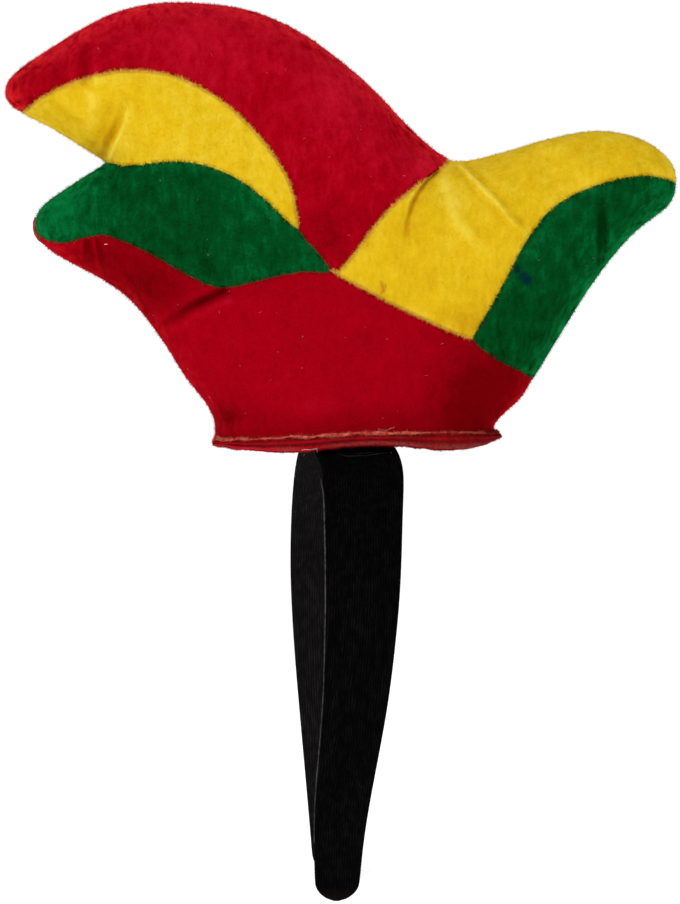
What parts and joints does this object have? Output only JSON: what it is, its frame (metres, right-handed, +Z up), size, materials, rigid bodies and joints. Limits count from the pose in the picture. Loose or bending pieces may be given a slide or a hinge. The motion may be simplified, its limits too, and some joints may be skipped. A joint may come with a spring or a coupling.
{
  "type": "carnival hat headband",
  "caption": "Small pieced velour carnival hat with a curled crest and a horn to the front and back, fixed on a fabric covered hair band whose arch lies across it.",
  "frame": {"origin": "underside of the band's crown, where it rests on the head", "axes": "+Z up through the hat, -X the way the wearer faces and the crest curls, -Y to the wearer's left"},
  "size_m": [0.2032, 0.123, 0.2654],
  "materials": {
    "red_velour": "short pile velour, matt with a soft nap",
    "yellow_velour": "short pile velour, matt with a soft nap",
    "green_velour": "short pile velour, matt with a soft nap",
    "black_knit": "fine ribbed knit cover, matt"
  },
  "bodies": {
    "root": {"crest_red_left": "red_velour", "crest_yellow_left": "yellow_velour", "front_horn_green_left": "green_velour", "base_red_left": "red_velour", "back_horn_yellow_left": "yellow_velour", "back_horn_green_left": "green_velour", "crest_red_right": "red_velour", "crest_yellow_right": "yellow_velour", "front_horn_green_right": "green_velour", "base_red_right": "red_velour", "back_horn_yellow_right": "yellow_velour", "back_horn_green_right": "green_velour", "base_pad": "red_velour", "headband": "black_knit"}
  },
  "joints": []
}
